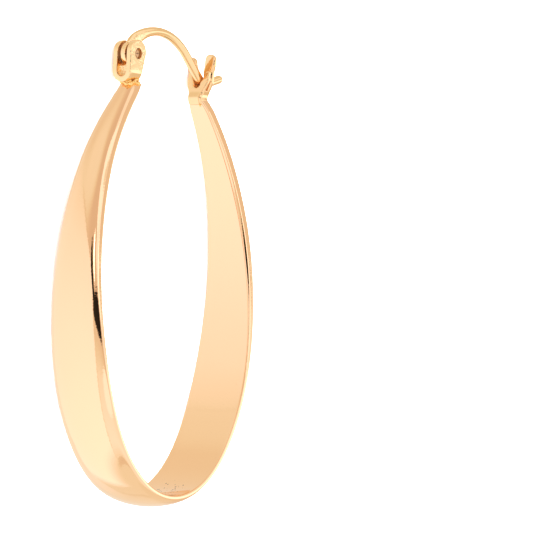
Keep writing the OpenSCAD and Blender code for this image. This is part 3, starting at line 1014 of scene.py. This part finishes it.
# The stitching is a thin darker line, faint where the cloth hangs loose
near_roof_seam = ramps((chain(roof_seam, ("ABSOLUTE",)), 0.016, 0.004))
near_side_seam = ramps((chain(side_seam, ("ABSOLUTE",)), 0.016, 0.004))
roof_stitches = chain(near_roof_seam, ("MULTIPLY", paint(0.12, (ramps((z, -0.65, -0.3)), 1.0))))
side_stitches = chain(near_side_seam, ("MULTIPLY", chain(roof_seam, ("LESS_THAN", 0.0))))
level = darken(level, chain(roof_stitches, ("MAXIMUM", side_stitches)), 0.22)
print("sheets and seams:", len(tree.nodes), "nodes")

# %% Table and its fold
# The table is a little warmer than the sheets and meets them softly, with one thin fold on the far side
FAR_SIDE = (az, 0.70, 0.90)
rising = chain(az, ("MULTIPLY_ADD", 0.093, -0.962))
fold_height = chain(az, ("SUBTRACT", 1.36), ("MAXIMUM", 0.0), ("MULTIPLY_ADD", 0.7, rising))
under_fold = chain(fold_height, ("SUBTRACT", h))
below_fold = ramps(FAR_SIDE, (az, 1.72, 1.58), (under_fold, -0.02, 0.02))
table = chain(ramps((h, -0.80, -0.945)), ("MAXIMUM", below_fold))
over_fold = ramps(FAR_SIDE, (h, 0.15, 0.0), (under_fold, 0.03, -0.03))
level = paint(level, (table, 0.94), (over_fold, paint(0.95, (ramps((az, 1.40, 1.62)), 1.09))))
at_fold = ramps((chain(under_fold, ("ABSOLUTE",)), 0.05, 0.0), FAR_SIDE, (az, 1.62, 1.46))
level = darken(level, at_fold, 0.16)
# The near corner of the table shows as a short brown mark
level = darken(level, spot(-0.80, -0.925, 0, 0.55, 0.022, 0.6), 0.20)
print("with the table:", len(tree.nodes), "nodes")

# %% Far wall
# The side is dimmer high up. The far wall is dim all over, with a bright gap low in it
high_side = ramps((x, -0.05, 0.25), (z, -0.2, -0.6), (h, 0.08, 0.3))
wall = ramps((az, 0.25, 0.40), (az, 1.25, 1.15))
low_gap = chain(wall, ("MULTIPLY", ramps((h, -0.22, -0.14), (h, 0.131, 0.119))))
level = paint(level, (high_side, 0.86), (wall, paint(0.76, (ramps((h, -0.5, -0.7)), 0.90))),
              (low_gap, paint(1.06, (ramps((h, 0.08, 0.03)), 1.62))))
print("with the far wall:", len(tree.nodes), "nodes")

# %% Small sheets, the lens gap and the lamps
# A slanted sheet beside the lens makes the light stripe along the rim, up to the hinge. Columns: az and h of
# the middle, slope, half length, half width, softness of the edge, level
SLANTED_SHEET = [(0.24, 0.58, 0, 0.32, 0.27, 0.30, 1.08),
                 (0.06, 0.40, -37.776, 0.42, 0.17, 0.10, 1.32),
                 (0.16, 0.19, -13.496, 0.26, 0.08, 0.15, 1.18),
                 (0.20, 0.345, -29.055, 0.24, 0.03, 0.30, 0.95)]
level = paint(level, *[(spot(*oval), light) for *oval, light in SLANTED_SHEET])
# Its edge shines low beside the lens, and a bright column stands on the table below it
column = chain(spot(0.22, -0.45, 77.35, 0.58, 0.22, 0.15), ("MULTIPLY", ramps((h, -0.98, -0.85))))
level = paint(level, (spot(-0.40, -0.43, 29.794, 0.36, 0.13), 1.28), (column, 1.12))
# The gap for the lens is bent, so it is the union of two ovals
LENS_DARK, LAMP, SMALL_LAMP = 0.97, 3.0, 2.2
bent_end = spot(-0.49, 0.11, 95.73, 0.23, 0.070, 0.2)
lens_gap = chain(spot(-0.28, 0.0, 12.605, 0.34, 0.10, 0.2), ("MAXIMUM", bent_end))
level = darken(level, lens_gap, LENS_DARK)
level = paint(level, (spot(-0.32, 0.24, 83.079, 0.11, 0.05), LAMP),
              (spot(0.34, 0.14, 0, 0.055, 0.05), SMALL_LAMP))
print("tent:", len(tree.nodes), "nodes")

# %% Colour of the tent and what each ray sees
# The lit cloth is a little cooler than the lamps, and the dim parts catch warm light from the table
warm = add(tree, "ShaderNodeCombineColor", {"Green": 1.0},
           {"Red": chain(ramps((level, 1.0, 0.6)), ("MULTIPLY_ADD", 0.20, 1.0)),
            "Blue": chain(ramps((level, 0.8, 1.25)), ("MULTIPLY_ADD", 0.24, 0.90))})
# The paper floor is lit evenly and the lens sees plain white, only the metal sees the seams
FLOOR_LIGHT, PLAIN_WHITE = 5.0, 1.0
path = add(tree, "ShaderNodeLightPath")
strength = paint(level, (path.outputs["Is Diffuse Ray"], FLOOR_LIGHT),
                 (path.outputs["Is Camera Ray"], PLAIN_WHITE))
backing = add(tree, "ShaderNodeBackground", None, {"Color": warm, "Strength": strength})
add(tree, "ShaderNodeOutputWorld", None, {"Surface": backing})
bpy.context.scene.view_settings.view_transform = "Standard"
print("tent in all:", len(tree.nodes), "nodes")
